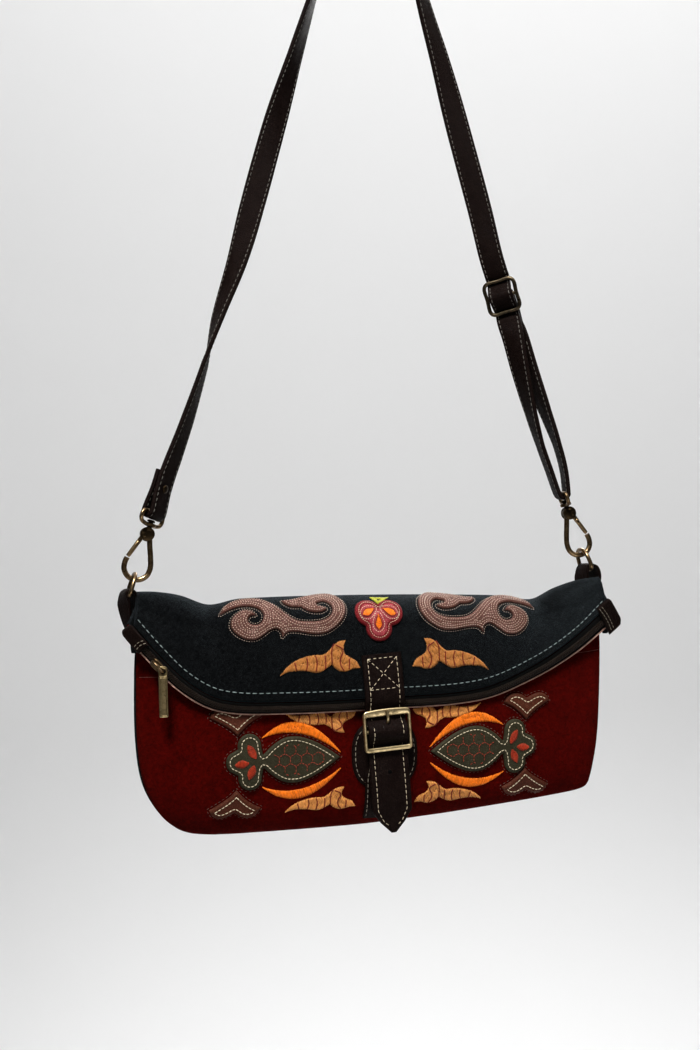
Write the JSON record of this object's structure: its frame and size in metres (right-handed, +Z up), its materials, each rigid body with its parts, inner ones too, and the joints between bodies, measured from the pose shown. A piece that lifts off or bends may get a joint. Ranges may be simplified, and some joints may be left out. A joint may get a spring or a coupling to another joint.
{
  "type": "belt bag",
  "caption": "Fold-over felt zip pouch with leather appliques, a buckled flap and a shoulder strap clipped on by snap hooks, shown hanging from its strap.",
  "frame": {"origin": "inner face of the shoulder strap at the top of its loop, where the bag hangs", "axes": "+Z up along the hanging strap, +Y from the buckled front of the bag to its back, +X from the zip pull's end to the other end"},
  "size_m": [0.3094, 0.0493, 0.5909],
  "materials": {
    "felt_red": "dark wine-red wool felt",
    "felt_teal": "charcoal-teal wool felt",
    "zip_brown": "woven tape with moulded teeth",
    "leather_dark": "dark brown, cream stitching",
    "brass": "antique, rubbed bright on the edges",
    "leather_mauve": "dusty mauve, double stitched",
    "leather_rose": "rose, stitched edge",
    "leather_olive": "grey olive, embroidered",
    "leather_brown": "mid brown, stitched edge"
  },
  "bodies": {
    "bag": {"front_panel": "felt_red", "front_upper_strip": "felt_red", "back_panel": "felt_teal", "zip_tape": "zip_brown", "zip_end_left": "leather_dark", "zip_end_right": "leather_dark", "ring_tab_left": "leather_dark", "ring_tab_right": "leather_dark", "strap": "leather_dark", "buckle_strap": "leather_dark", "buckle_chape": "leather_dark", "buckle_patch": "leather_dark", "zip_slider": "brass", "ring_left": "brass", "ring_right": "brass", "hook_left": "brass", "hook_right": "brass", "hook_eye_left": "brass", "hook_eye_right": "brass", "strap_rivet": "brass", "strap_slide": "brass", "buckle_frame": "brass", "buckle_prong": "brass", "scroll_left": "leather_mauve", "scroll_right": "leather_mauve", "flower": "leather_rose", "pomegranate_left": "leather_olive", "pomegranate_right": "leather_olive", "corner_leaf_left_upper": "leather_brown", "corner_leaf_right_upper": "leather_brown", "corner_leaf_left_lower": "leather_brown", "corner_leaf_right_lower": "leather_brown"},
    "gate_left": {"hook_gate_left": "brass"},
    "gate_right": {"hook_gate_right": "brass"},
    "zip_pull": {"zip_pull": "brass"}
  },
  "joints": [
    {"name": "gate_left_hinge", "type": "hinge", "parent": "bag", "child": "gate_left", "pos_m": [-0.1503, 0, -0.40892], "axis": [0, -1, 0], "range_deg": [0, 28], "stiffness_Nm_per_rad": 0.05},
    {"name": "gate_right_hinge", "type": "hinge", "parent": "bag", "child": "gate_right", "pos_m": [0.11797, 0, -0.40184], "axis": [0, 1, 0], "range_deg": [0, 28], "stiffness_Nm_per_rad": 0.05},
    {"name": "zip_pull_hinge", "type": "hinge", "parent": "bag", "child": "zip_pull", "pos_m": [-0.14661, -0.02342, -0.4848], "axis": [-0.7071, 0, -0.7071], "range_deg": [0, 100]}
  ]
}
